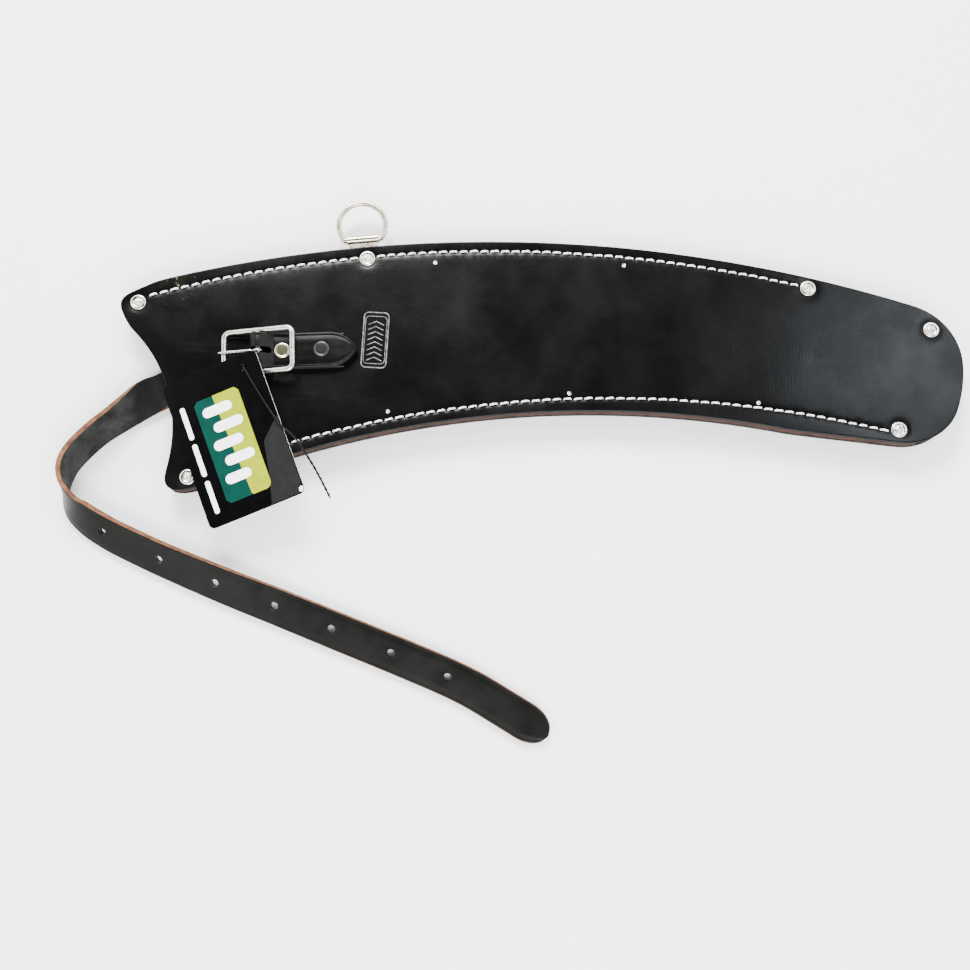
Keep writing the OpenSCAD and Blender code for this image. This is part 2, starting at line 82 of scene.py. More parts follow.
area_light("key", (-0.25, 1.15, 1.10), (0, 0, 0), (0.6, 0.6), 60)
TIP = (0.2, 0.05, 0.015)
COOL = (0.86, 0.94, 1)
area_light("tip_softbox", (0.66, 0.44, 1.25), TIP, (0.22, 0.30), 4.2, COOL)
area_light("front_fill", (0.1, -0.85, 1.10), (0, 0, 0), (0.7, 0.5), 30)

world = bpy.data.worlds.new("studio")
world.use_nodes = True
# A white room with a dark ceiling and a dim horizon, so that flat glossy faces stay dark
room = world.node_tree
sky = room.nodes["Background"]
direction = room.nodes.new("ShaderNodeTexCoord").outputs["Generated"]
height = room.nodes.new("ShaderNodeSeparateXYZ")
room.links.new(direction, height.inputs[0])
ceiling = room.nodes.new("ShaderNodeValToRGB")
room.links.new(height.outputs["Z"], ceiling.inputs["Fac"])
bands = ceiling.color_ramp.elements
bands[0].position, bands[1].position = 0.15, 0.88
bands.new(0.40)
bands.new(0.60)
for band, level in zip(bands, (0.25, 1.0, 1.0, 0.005)):
    band.color = (level, level, level, 1)
room.links.new(ceiling.outputs[0], sky.inputs["Color"])
sky.inputs["Strength"].default_value = 5.8
bpy.context.scene.world = world

# ---------------------------------------------------------------- materials


class Shade:
    """A material with a Principled shader and short calls for its nodes."""

    def __init__(self, name, colour, rough, metal=0.0, **sockets):
        self.mat = bpy.data.materials.new(name)
        self.mat.use_nodes = True
        self.tree = self.mat.node_tree
        self.bsdf = self.tree.nodes["Principled BSDF"]
        self.bsdf.inputs["Base Color"].default_value = (*colour, 1)
        self.bsdf.inputs["Roughness"].default_value = rough
        self.bsdf.inputs["Metallic"].default_value = metal
        for key, value in sockets.items():
            self.bsdf.inputs[key.replace("_", " ")].default_value = value
        self.coords = self.tree.nodes.new("ShaderNodeTexCoord").outputs["Object"]
        self.normal = None

    def node(self, kind, **links):
        made = self.tree.nodes.new("ShaderNode" + kind)
        for key, value in links.items():
            numbered = key[0] == "i" and key[1:].isdigit()
            socket = made.inputs[int(key[1:]) if numbered else key.replace("_", " ")]
            if isinstance(value, bpy.types.NodeSocket):
                self.tree.links.new(value, socket)
            else:
                socket.default_value = value
        return made

    def scaled(self, scale, turn=0.0):
        made = self.node("Mapping", Vector=self.coords)
        made.inputs["Scale"].default_value = scale
        made.inputs["Rotation"].default_value = (0, 0, turn)
        return made.outputs["Vector"]

    def noise(self, scale, detail=4.0, rough=0.55, coords=None):
        made = self.node("TexNoise", Vector=coords or self.coords, Scale=scale, Detail=detail)
        made.inputs["Roughness"].default_value = rough
        return made.outputs["Fac"]

    def wave(self, scale, direction, distort):
        made = self.node("TexWave", Vector=self.coords, Scale=scale, Distortion=distort)
        made.bands_direction = direction
        return made.outputs["Fac"]

    def cells(self, scale):
        return self.node("TexVoronoi", Vector=self.coords, Scale=scale).outputs["Distance"]

    def attribute(self, name):
        made = self.tree.nodes.new("ShaderNodeAttribute")
        made.attribute_name = name
        return made.outputs["Fac"]

    def maths(self, operation, a, b=0.0, clamp=False):
        made = self.node("Math", i0=a, i1=b)
        made.operation = operation
        made.use_clamp = clamp
        return made.outputs[0]

    def ramp(self, value, low, high, out_low=0.0, out_high=1.0):
        made = self.node("MapRange", Value=value, From_Min=low, From_Max=high)
        made.inputs["To Min"].default_value = out_low
        made.inputs["To Max"].default_value = out_high
        return made.outputs[0]

    def mix(self, factor, a, b):
        made = self.tree.nodes.new("ShaderNodeMix")
        made.data_type = "RGBA"
        factor_in, a_in, b_in = (made.inputs[i] for i in (0, 6, 7))
        for socket, value in ((factor_in, factor), (a_in, a), (b_in, b)):
            if isinstance(value, bpy.types.NodeSocket):
                self.tree.links.new(value, socket)
            elif isinstance(value, tuple):
                socket.default_value = (*value, 1)
            else:
                socket.default_value = value
        return made.outputs[2]

    def bump(self, height, distance, strength):
        made = self.node("Bump", Height=height, Strength=strength)
        made.inputs["Distance"].default_value = distance
        if self.normal is not None:
            self.tree.links.new(self.normal, made.inputs["Normal"])
        self.normal = made.outputs["Normal"]

    def done(self, colour=None, rough=None):
        if colour is not None:
            self.tree.links.new(colour, self.bsdf.inputs["Base Color"])
        if rough is not None:
            self.tree.links.new(rough, self.bsdf.inputs["Roughness"])
        if self.normal is not None:
            self.tree.links.new(self.normal, self.bsdf.inputs["Normal"])
        return self.mat


def belting_material():
    s = Shade("belting", (0.012, 0.012, 0.014), 0.25, Specular_IOR_Level=0.13)
    weave = s.maths("MULTIPLY", s.wave(190, "X", 2.5), s.wave(230, "Y", 1.5))
    s.bump(weave, 0.00003, 0.3)
    s.bump(s.noise(420, 3), 0.00008, 0.35)
    s.bump(s.noise(22, 3), 0.0006, 0.25)
    black, worn_black = (0.0008, 0.0008, 0.0009), (0.0019, 0.0019, 0.0021)
    tone = s.mix(s.ramp(s.noise(60, 6), 0.35, 0.75), black, worn_black)
    scuffs = s.ramp(s.noise(14, 8, 0.7, s.scaled((1, 6, 1), 0.5)), 0.60, 0.75)
    tone = s.mix(s.maths("MULTIPLY", scuffs, 0.35), tone, (0.008, 0.008, 0.0085))
    # Rubbed patch by the mouth's upper rivet, round (-0.174, 0.0985, 0.0156) m
    place = s.node("VectorMath", i0=s.coords, i1=(0.1740, -0.0985, -0.0156))
    far = s.node("VectorMath", i0=place.outputs[0])
    far.operation = "LENGTH"
    corner = s.ramp(far.outputs["Value"], 0.019, 0.005)
    flecks = s.maths("MULTIPLY", corner, s.ramp(s.noise(420, 3, 0.7), 0.63, 0.68), True)
    rubbed = s.maths("MULTIPLY", corner, s.ramp(s.noise(150, 5), 0.4, 0.7, 0.0, 0.4))
    tone = s.mix(rubbed, tone, (0.012, 0.012, 0.008))
    tone = s.mix(s.maths("MULTIPLY", flecks, 0.45), tone, (0.24, 0.22, 0.11))
    return s.done(tone, s.ramp(s.noise(35, 6), 0.3, 0.75, 0.20, 0.33))


def ply_material():
    s = Shade("belting_edge", (0.02, 0.019, 0.018), 0.75, Specular_IOR_Level=0.1)
    plies = s.wave(520, "Z", 1.5)
    s.bump(plies, 0.0001, 0.6)
    s.bump(s.noise(900, 4), 0.0002, 0.5)
    return s.done(s.mix(plies, (0.004, 0.004, 0.004), (0.013, 0.012, 0.011)))


def welt_material():
    s = Shade("welt_leather", (0.16, 0.09, 0.05), 0.75, Specular_IOR_Level=0.12)
    s.bump(s.noise(800, 5, 0.7, s.scaled((1, 1, 3))), 0.0004, 0.7)
    layers = s.noise(260, 5, 0.6, s.scaled((0.3, 0.3, 3)))
    return s.done(s.mix(s.ramp(layers, 0.3, 0.7), (0.010, 0.004, 0.002), (0.055, 0.021, 0.010)))


def strap_material():
    """Black grain on the outer face, mottled flesh on the inner face, and tan raw edges."""
    s = Shade("strap_leather", (0.02, 0.018, 0.017), 0.45, Specular_IOR_Level=0.10)
    across = s.maths("ABSOLUTE", s.attribute("across"))
    through = s.attribute("through")
    depth = s.maths("ABSOLUTE", through)
    s.bump(s.cells(1500), 0.00005, 0.55)
    s.bump(s.noise(260, 4), 0.0002, 0.35)
    mottle = s.ramp(s.noise(90, 5), 0.3, 0.7)
    face = s.mix(mottle, (0.0011, 0.0012, 0.0010), (0.0032, 0.0033, 0.0028))
    nap = s.ramp(s.noise(120, 6, 0.65), 0.35, 0.68)
    flesh = s.mix(nap, (0.0035, 0.0040, 0.0034), (0.019, 0.0205, 0.0185))
    inner = s.ramp(through, 0.2, 0.7)
    # Painted shade: the flesh side is painted dark where the strap runs by the scabbard, from x = -0.190 m
    # on, and keeps its paler worn nap in the bend, with random patches between
    place = s.node("SeparateXYZ", Vector=s.coords).outputs["X"]
    patches = s.ramp(s.noise(60, 4), 0.35, 0.65, -0.35, 0.35)
    shade_and_wear = s.maths("ADD", s.ramp(place, -0.190, -0.201), patches, True)
    flesh = s.mix(shade_and_wear, (0.0022, 0.0023, 0.0022), flesh)
    body = s.mix(inner, face, flesh)
    fibres = s.noise(300, 6, 0.65, s.scaled((1, 1, 2)))
    raw = s.mix(s.ramp(fibres, 0.3, 0.7), (0.035, 0.013, 0.006), (0.17, 0.078, 0.038))
    edge = s.maths("MULTIPLY", s.ramp(across, 0.93, 0.975), s.ramp(depth, 0.97, 0.80), True)
    colour = s.mix(edge, body, raw)
    rough = s.ramp(s.noise(70, 4), 0.3, 0.7, 0.30, 0.45)
    raw_rough = s.maths("MULTIPLY", s.maths("MAXIMUM", inner, edge), 0.25)
    rough = s.maths("ADD", rough, raw_rough, True)
    return s.done(colour, rough)


def chape_material():
    s = Shade("chape_leather", (0.018, 0.017, 0.016), 0.3, Specular_IOR_Level=0.10)
    s.bump(s.cells(1500), 0.00005, 0.5)
    s.bump(s.wave(60, "Y", 4.0), 0.0001, 0.3)
    tone = s.mix(s.ramp(s.noise(110, 5), 0.3, 0.75), (0.0009, 0.0009, 0.0009), (0.0026, 0.0026, 0.0026))
    rim = s.ramp(s.maths("ABSOLUTE", s.attribute("across")), 0.90, 1.0)
    tone = s.mix(s.maths("MULTIPLY", rim, 0.5), tone, (0.016, 0.014, 0.013))
    return s.done(tone, s.ramp(s.noise(60), 0.3, 0.7, 0.24, 0.36))


def thread_material():
    s = Shade("thread", (0.80, 0.79, 0.76), 0.6)
    s.bump(s.noise(2600, 3), 0.0001, 0.5)
    fibres = s.ramp(s.noise(240, 3), 0.35, 0.7)
    return s.done(s.mix(fibres, (0.62, 0.61, 0.58), (0.88, 0.87, 0.84)))


def nickel_material(name, bright, dark, rough_low, rough_high):
    s = Shade(name, bright, 0.25, 1.0)
    s.bump(s.noise(700, 4), 0.00008, 0.3)
    s.bump(s.noise(60, 2), 0.0004, 0.25)
    stain = s.ramp(s.noise(330, 5, 0.6), 0.48, 0.78)
    return s.done(s.mix(stain, bright, dark), s.ramp(s.noise(200, 5), 0.3, 0.7, rough_low, rough_high))


def peened_material():
    s = Shade("peened_nickel", (0.62, 0.6, 0.56), 0.4, 1.0)
    s.bump(s.cells(900), 0.0005, 0.7)
    s.bump(s.noise(1500, 4), 0.0002, 0.5)
    dents = s.ramp(s.noise(900, 4), 0.4, 0.65)
    tone = s.mix(dents, (0.70, 0.68, 0.63), (0.22, 0.21, 0.19))
    return s.done(tone, s.ramp(s.noise(500), 0.3, 0.7, 0.25, 0.5))


def paint_material(name, low, high, rough=0.3, bump=0.2):
    s = Shade(name, low, rough, Specular_IOR_Level=0.12)
    s.bump(s.noise(500, 3), 0.00005, bump)
    return s.done(s.mix(s.ramp(s.noise(200, 4), 0.3, 0.7), low, high))


def emboss_material():
    s = Shade("embossed_mark", (0.16, 0.16, 0.16), 0.5)
    s.bump(s.noise(1800, 3), 0.0002, 0.6)
    return s.done(s.mix(s.ramp(s.noise(500, 5), 0.38, 0.62), (0.03, 0.03, 0.031), (0.16, 0.16, 0.16)))


BELTING = belting_material()
PLY = ply_material()
WELT = welt_material()
STRAP = strap_material()
CHAPE = chape_material()
THREAD = thread_material()
NICKEL = nickel_material("nickel", (0.66, 0.63, 0.55), (0.36, 0.33, 0.26), 0.12, 0.26)
SATIN = nickel_material("satin_nickel", (0.56, 0.55, 0.50), (0.28, 0.27, 0.23), 0.18, 0.34)
PEENED = peened_material()
DULL_NICKEL = nickel_material("dull_nickel", (0.060, 0.057, 0.051), (0.006, 0.006, 0.006), 0.2, 0.4)
WIRE_NICKEL = nickel_material("wire_nickel", (0.47, 0.43, 0.34), (0.24, 0.21, 0.15), 0.16, 0.30)
CARD = paint_material("card_print", (0.0009, 0.0009, 0.001), (0.0016, 0.0016, 0.0018), 0.16, 0.05)
# A paler grey painted on the card's black print as a sheen: a painted reflection
CARD_PAINTED_SHEEN = paint_material("card_painted_sheen", (0.0095, 0.0095, 0.010), (0.0125, 0.0125, 0.013), 0.16, 0.05)
CORE = paint_material("card_core", (0.70, 0.69, 0.66), (0.82, 0.81, 0.78), 0.6)
TEAL = paint_material("card_teal", (0.0004, 0.024, 0.018), (0.0007, 0.032, 0.024))
YELLOW = paint_material("card_yellow", (0.20, 0.235, 0.0006), (0.25, 0.285, 0.001))
WHITE = paint_material("card_white", (0.86, 0.86, 0.86), (0.90, 0.90, 0.90))
PLASTIC = paint_material("black_plastic", (0.0008, 0.0008, 0.0008), (0.0016, 0.0016, 0.0016), 0.5)
# An olive colour painted on a rivet dome as a reflection: a painted reflection
OLIVE_PAINTED_REFLECTION = paint_material("cap_painted_reflection", (0.022, 0.021, 0.009), (0.050, 0.047, 0.022), 0.6, 0.5)
DARK_CAP = paint_material("dark_cap", (0.0008, 0.0008, 0.0008), (0.0060, 0.0060, 0.0060), 0.6, 0.8)
EMBOSS = emboss_material()

floor_shade = Shade("floor", (0.86, 0.86, 0.855), 0.6)
FLOOR = floor_shade.done(floor_shade.mix(floor_shade.noise(9, 3), (0.85, 0.85, 0.845), (0.87, 0.87, 0.865)))

# ---------------------------------------------------------------- mesh helpers


def add_mesh(name, verts, faces, mats, face_mats=None):
    mesh = bpy.data.meshes.new(name)
    mesh.from_pydata([tuple(float(c) * MM for c in v) for v in verts], [], faces)
    for mat in mats:
        mesh.materials.append(mat)
    if face_mats is not None:
        mesh.polygons.foreach_set("material_index", face_mats)
    mesh.polygons.foreach_set("use_smooth", [True] * len(mesh.polygons))
    mesh.update()
    piece = bpy.data.objects.new(name, mesh)
    bpy.context.scene.collection.objects.link(piece)
    return piece


def sharpen(piece, degrees):
    piece.data.set_sharp_from_angle(angle=math.radians(degrees))
    return piece


def settle(piece):
    """Turns the piece's modifiers into plain mesh."""
    bpy.context.view_layer.update()
    shaped = piece.evaluated_get(bpy.context.evaluated_depsgraph_get())
    mesh = bpy.data.meshes.new_from_object(shaped)
    piece.modifiers.clear()
    piece.data = mesh


class Build:
    """Collects verts and faces, in mm, for one object made of many lumps."""

    def __init__(self):
        self.verts, self.faces, self.mats = [], [], []

    def add(self, verts, faces, mat=0):
        base = len(self.verts)
        self.verts += [tuple(v) for v in verts]
        self.faces += [tuple(base + i for i in f) for f in faces]
        self.mats += list(mat) if isinstance(mat, (list, tuple)) else [mat] * len(faces)

    def make(self, name, mats, sharp=None):
        piece = add_mesh(name, self.verts, self.faces, mats, self.mats)
        return sharpen(piece, sharp) if sharp else piece


def tube_faces(rings, n, closed=False):
    faces = []
    for i in range(rings if closed else rings - 1):
        a, b = i * n, ((i + 1) % rings) * n
        faces += [(a + j, a + (j + 1) % n, b + (j + 1) % n, b + j) for j in range(n)]
    if not closed:
        faces.append(tuple(reversed(range(n))))
        faces.append(tuple((rings - 1) * n + j for j in range(n)))
    return faces


def sweep(path, radius, sides, closed=False, up=(0, 0, 1)):
    """Verts and faces of a round bar along a path. radius is a number or one per point."""
    path = [Vector(p) for p in path]
    count = len(path)
    radii = radius if isinstance(radius, (list, tuple)) else [radius] * count
    verts = []
    for i, p in enumerate(path):
        before = path[(i - 1) % count] if closed else path[max(i - 1, 0)]
        after = path[(i + 1) % count] if closed else path[min(i + 1, count - 1)]
        t = (after - before).normalized()
        side = t.cross(Vector(up)).normalized()
        over = side.cross(t)
        for j in range(sides):
            a = 2 * math.pi * j / sides
            verts.append(p + float(radii[i]) * (math.cos(a) * side + math.sin(a) * over))
    return verts, [f[::-1] for f in tube_faces(count, sides, closed)]


def lathe(profile, sides, jitter=0.0, seed=0):
    """Verts and faces of (radius, height) points turned about Z. The ends lie on the axis."""
    verts = [(0, 0, profile[0][1])]
    for r, z in profile[1:-1]:
        for j in range(sides):
            a = 2 * math.pi * j / sides
            spot = Vector((r * math.cos(a) * 1.1, r * math.sin(a) * 1.1, seed * 3.1))
            bump = jitter * noise.noise(spot)
            verts.append((r * math.cos(a), r * math.sin(a), z + bump))
    verts.append((0, 0, profile[-1][1]))
    rings = len(profile) - 2
    faces = [(0, 1 + (j + 1) % sides, 1 + j) for j in range(sides)]
    for i in range(rings - 1):
        a, b = 1 + i * sides, 1 + (i + 1) * sides
        faces += [(a + j, a + (j + 1) % sides, b + (j + 1) % sides, b + j) for j in range(sides)]
    last, a = len(verts) - 1, 1 + (rings - 1) * sides
    faces += [(last, a + j, a + (j + 1) % sides) for j in range(sides)]
    return verts, faces


def placed(verts, x, y, z, turn=0.0):
    c, s = math.cos(turn), math.sin(turn)
    return [(x + c * v[0] - s * v[1], y + s * v[0] + c * v[1], z + v[2]) for v in verts]


def arc(centre, radius, a0, a1, n):
    return [(centre[0] + radius * math.cos(math.radians(a0 + (a1 - a0) * i / n)),
             centre[1] + radius * math.sin(math.radians(a0 + (a1 - a0) * i / n))) for i in range(n + 1)]


def rounded(x0, y0, x1, y1, r, n):
    """A rectangle with round corners of n segments each."""
    corners = ((x1 - r, y1 - r, 0), (x0 + r, y1 - r, 90), (x0 + r, y0 + r, 180), (x1 - r, y0 + r, 270))
    return [p for x, y, a in corners for p in arc((x, y), r, a, a + 90, n)]


def resample(points, step, closed=True):
    p = np.array(points + ([points[0]] if closed else []), float)
    run = np.concatenate([[0], np.cumsum(np.linalg.norm(np.diff(p, axis=0), axis=1))])
    n = max(int(round(run[-1] / step)), 4)
    s = np.linspace(0, run[-1], n + 1)
    out = np.stack([np.interp(s, run, p[:, k]) for k in range(p.shape[1])], 1)
    return out[:-1] if closed else out


def soften(p, times):
    """Rounds a closed outline off a little."""
    for _ in range(times):
        p = 0.5 * p + 0.25 * (np.roll(p, 1, 0) + np.roll(p, -1, 0))
    return p


def runs_left(p):
    """True where a closed outline runs counter-clockwise."""
    return np.sum(p[:, 0] * np.roll(p[:, 1], -1) - np.roll(p[:, 0], -1) * p[:, 1]) > 0


def inward(p):
    """Unit normals that point into a closed outline."""
    t = np.roll(p, -1, 0) - np.roll(p, 1, 0)
    t /= np.linalg.norm(t, axis=1)[:, None]
    n = np.stack([-t[:, 1], t[:, 0]], 1)
    return n if runs_left(p) else -n


def inside(points, ring):
    """Which points lie in a closed outline."""
    x, y = points[:, 0], points[:, 1]
    hit = np.zeros(len(points), bool)
    a, b = ring, np.roll(ring, -1, 0)
    for (x0, y0), (x1, y1) in zip(a, b):
        cross = (y0 > y) != (y1 > y)
        with np.errstate(divide="ignore", invalid="ignore"):
            hit ^= cross & (x < (x1 - x0) * (y - y0) / (y1 - y0) + x0)
    return hit


def fill(ring, extra, margin):
    """Triangles over a closed outline and the extra points inside it: (all points, triangles)."""
    extra = extra[inside(extra, ring)] if len(extra) else extra
    if len(extra):
        keep = np.ones(len(extra), bool)
        for k in range(0, len(extra), 2000):
            gap = np.min(np.hypot(extra[k:k + 2000, None, 0] - ring[None, :, 0],
                                  extra[k:k + 2000, None, 1] - ring[None, :, 1]), axis=1)
            keep[k:k + 2000] = gap > margin
        extra = extra[keep]
    points = [Vector(p) for p in (np.vstack([ring, extra]) if len(extra) else ring)]
    verts, _, faces, _, _, _ = delaunay_2d_cdt(points, [], [list(range(len(ring)))], 1, 1e-5)
    return np.array([tuple(v) for v in verts]), [tuple(f) for f in faces]


def faces_up(points, f):
    """True where a triangle runs counter-clockwise seen from above."""
    a, b, c = (points[i] for i in f[:3])
    return (b[0] - a[0]) * (c[1] - a[1]) > (b[1] - a[1]) * (c[0] - a[0])


def grid_points(ring, step):
    """Staggered rows of points, near equal triangles, over a closed outline's box."""
    low, high = ring.min(0), ring.max(0)
    xs = np.arange(low[0], high[0], step)
    ys = np.arange(low[1], high[1], step * 0.866)
    gx, gy = np.meshgrid(xs, ys)
    gx = gx + (np.arange(len(ys)) % 2)[:, None] * step / 2
    return np.stack([gx.ravel(), gy.ravel()], 1)


# Section of a slab's eased edge: how far in and how far down, as shares of the ease
EASED = ((1.6, 0), (0.7, 0.0), (0.3, 0.12), (0.08, 0.4), (0.0, 1.0))
WALL_RINGS = (3, 4, 5)


def slab(outline, z0, z1, ease, step, extra=None, top=None, bottom=None, wall=0, wobble=0.0):
    """A flat sheet over an outline with eased edges. top and bottom give each point's rise."""
    n_in = inward(outline)
    count = len(outline)
    edge = np.array([wobble * noise.noise(Vector((p[0] * 0.35, p[1] * 0.35, z0))) for p in outline])
    rings = [(inset, z1 - depth * ease) for inset, depth in EASED]
    rings += [(inset, z0 + depth * ease) for inset, depth in EASED[::-1]]
    verts, faces, mats, loops = [], [], [], []
    top = top or (lambda p: np.zeros(len(p)))
    bottom = bottom or (lambda p: np.zeros(len(p)))
    for k, (inset, z) in enumerate(rings):
        shift = inset * ease + (edge if inset < 1 else edge * 0)
        p = outline + n_in * np.reshape(shift, (-1, 1))
        lift = top(p) if k < len(EASED) else bottom(p)
        loops.append(p)
        verts += [(x, y, z + d) for (x, y), d in zip(p, lift)]
    for k in range(len(rings) - 1):
        a, b = k * count, (k + 1) * count
        faces += [(a + j, b + j, b + (j + 1) % count, a + (j + 1) % count) for j in range(count)]
        mats += [wall if k in WALL_RINGS else 0] * count
    grid = grid_points(outline, step)
    extra = grid if extra is None else np.vstack([grid, extra])
    last = (len(rings) - 1) * count
    for loop, z, lift, first, up in ((loops[0], z1, top, 0, True), (loops[-1], z0, bottom, last, False)):
        points, tris = fill(loop, extra, step * 0.45)
        index = {}
        for i, (p, d) in enumerate(zip(points, lift(points))):
            if i < count:
                index[i] = first + i
            else:
                index[i] = len(verts)
                verts.append((p[0], p[1], z + d))
        for f in tris:
            named = tuple(index[i] for i in f)
            faces.append(named if faces_up(points, f) == up else named[::-1])
            mats.append(0)
    if not runs_left(outline):
        faces[:last] = [f[::-1] for f in faces[:last]]
    return verts, faces, mats


# ---------------------------------------------------------------- levels and outline, in mm

back_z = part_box("back_panel")[0].z / MM
pocket_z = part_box("back_panel")[1].z / MM
front_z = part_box("front_panel")[0].z / MM
face_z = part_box("front_panel")[1].z / MM
mid_z = (pocket_z + front_z) / 2

TOP, BOTTOM = ((-10.5, -588.5), 705), ((41.5, -500), 525)
UPPER_ROW, LOWER_ROW = ((-8, -561.5), 672.5), ((51.5, -551.5), 583)
EDGE_RIVETS = [(-192.5, 83), (-74, 107), (155.5, 90.5), (-162.5, -9.5), (198, 15), (218, 68)]


def angle_at(circle, x):
    return math.degrees(math.acos((x - circle[0][0]) / circle[1]))


# Upper mouth corner and long edge, the tip in three arcs, the lower edge and corner, the mouth
outline = soften(resample(
    arc((-197, 82.5), 5.5, 195, 105, 12) + arc(*TOP, angle_at(TOP, -183), angle_at(TOP, 209), 200)
    + arc((200.5, 49.5), 33, 70, 2, 40) + arc((160.5, 51), 73, -1, -24, 20)
    + arc((202.5, 37.5), 29.5, -38, -95, 30)
    + arc(*BOTTOM, angle_at(BOTTOM, 144), angle_at(BOTTOM, -161), 160)
    + arc((-169.5, -11), 5.5, -95, -180, 12) + arc((-249, 13), 77.5, -15, 48, 50), 1.6), 8)


STITCH_PITCH = 5.4
# Where a stitch dips into its holes, along the row from its centre
STITCH_END = 1.76


def row_places(circle, x0, x1):
    """Centre and direction of each stitch of a row."""
    a0, a1 = angle_at(circle, x0), angle_at(circle, x1)
    count = int(math.radians(a0 - a1) * circle[1] / STITCH_PITCH)
    out = []
    for i in range(count + 1):
        a = math.radians(a0 + (a1 - a0) * i / count)
        x, y = circle[0][0] + circle[1] * math.cos(a), circle[0][1] + circle[1] * math.sin(a)
        out.append((x, y, a - math.pi / 2))
    return out


upper_places = row_places(UPPER_ROW, -185, -81) + row_places(UPPER_ROW, -67, 148.5)
lower_places = row_places(LOWER_ROW, -155, 190.5)


def near_rows():
    """Points round each stitch, for a finer face there."""
    points = []
    grid = [(u, v) for u in (-STITCH_END, -0.6, 0.6, STITCH_END) for v in (-2.0, -0.9, 0, 0.9, 2.0)]
    for x, y, a in upper_places + lower_places:
        c, s = math.cos(a), math.sin(a)
        points += [(x + u * c - v * s, y + u * s + v * c) for u, v in grid]
    return points


def near_rivets():
    """Three circles of points round each edge rivet."""
    return [(x + r * math.cos(2 * math.pi * k / 24), y + r * math.sin(2 * math.pi * k / 24))
            for x, y in EDGE_RIVETS for r in (4.3, 5.0, 6.0) for k in range(24)]


stitch_ends = np.array([(x + e * math.cos(a), y + e * math.sin(a))
                        for x, y, a in upper_places + lower_places for e in (-STITCH_END, STITCH_END)])


def relief(p):
    """How far a panel's face sinks at the stitches and rivets, and its slow waviness."""
    p = np.asarray(p, float)
    out = np.zeros(len(p))
    for circle, x0, x1 in ((UPPER_ROW, -188, 151), (LOWER_ROW, -158, 193)):
        d = np.hypot(p[:, 0] - circle[0][0], p[:, 1] - circle[0][1]) - circle[1]
        on = (p[:, 0] > x0) & (p[:, 0] < x1) & (p[:, 1] > -60)
        out -= np.where(on, 0.16 * np.exp(-(d / 1.1) ** 2) + 0.10 * np.exp(-(d / 4.0) ** 2), 0)
    for k in range(0, len(p), 4000):
        q = p[k:k + 4000]
        off = q[:, None, :] - stitch_ends[None, :, :]
        gap = np.min(np.hypot(off[:, :, 0], off[:, :, 1]), axis=1)
        out[k:k + 4000] -= 0.28 * np.exp(-(gap / 0.75) ** 2)
    for x, y in EDGE_RIVETS:
        r = np.hypot(p[:, 0] - x, p[:, 1] - y)
        out -= 0.28 * np.exp(-(np.maximum(r - 4.0, 0) / 1.6) ** 2)
    wave = np.array([noise.noise(Vector((q[0] * 0.018, q[1] * 0.02, 1.7))) for q in p])
    return out + 0.22 * np.minimum(wave, 0.2) - 0.05


# ---------------------------------------------------------------- panels and welts

extra_points = np.array(near_rows() + near_rivets())
body = Build()
body.add(*slab(outline, front_z, face_z, 0.5, 3.2, extra_points, relief, wall=1))
front = body.make("front_panel_belting", [BELTING, PLY], 45)
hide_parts("front_panel")

body = Build()
body.add(*slab(outline, back_z, pocket_z, 0.5, 3.2, extra_points, None, lambda p: -relief(p), wall=1))
back = body.make("back_panel_belting", [BELTING, PLY], 45)
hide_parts("back_panel")


def cut(p0, p1):
    """The stretch of the outline from near p0 to near p1, in its own order."""
    i = int(np.argmin(np.hypot(*(outline - p0).T)))
    j = int(np.argmin(np.hypot(*(outline - p1).T)))
    return [tuple(outline[k % len(outline)]) for k in range(i, (j if j > i else j + len(outline)) + 1)]


WELT_W = 14
inner_upper = (TOP[0], TOP[1] - WELT_W)
inner_lower = (BOTTOM[0], BOTTOM[1] + WELT_W)
upper_arc = arc(*inner_upper, angle_at(inner_upper, 182), angle_at(inner_upper, -198.6), 120)
lower_arc = arc(*inner_lower, angle_at(inner_lower, -174), angle_at(inner_lower, 144), 120)
upper_outline = cut((-200.0, 76.4), (185.8, 88.6)) + upper_arc
lower_outline = cut((210.4, 9.2), (-174.9, -7.0)) + lower_arc + [(206, 21)]
for name, points, node in (("upper_welt_leather", upper_outline, "upper_welt"),
                           ("lower_welt_leather", lower_outline, "lower_welt")):
    welt = Build()
    ring = soften(resample(points, 1.6), 2)
    ring = ring + inward(ring) * 0.25
    welt.add(*slab(ring, pocket_z + 0.02, front_z - 0.02, 0.25, 8, wobble=0.35))
    welt_piece = welt.make(name, [WELT], 45)
    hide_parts(node)
    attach(welt_piece, "scabbard")

spacer = Build()
verts, faces = lathe([(0, 0), (5.9, 0), (6.4, 0.5), (6.5, 2.5), (6.4, 4.4), (5.9, 4.9), (0, 4.9)], 32)
spacer.add(placed(verts, *EDGE_RIVETS[-1], pocket_z + 0.03), faces)
spacer_piece = spacer.make("tip_spacer_leather", [WELT], 50)
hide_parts("tip_spacer")
for piece in (front, back, spacer_piece):
    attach(piece, "scabbard")

# ---------------------------------------------------------------- stitching

# One half of a stitch seen from the side: along it, as a share of its half length, and up in mm
STITCH_HALF = [(0.3, 0.33), (0.62, 0.26), (0.9, 0.02), (1.03, -0.55), (1.06, -1.3)]
STITCH = [(-u, h) for u, h in STITCH_HALF[::-1]] + [(0.0, 0.35)] + STITCH_HALF
THREAD_R = 0.46


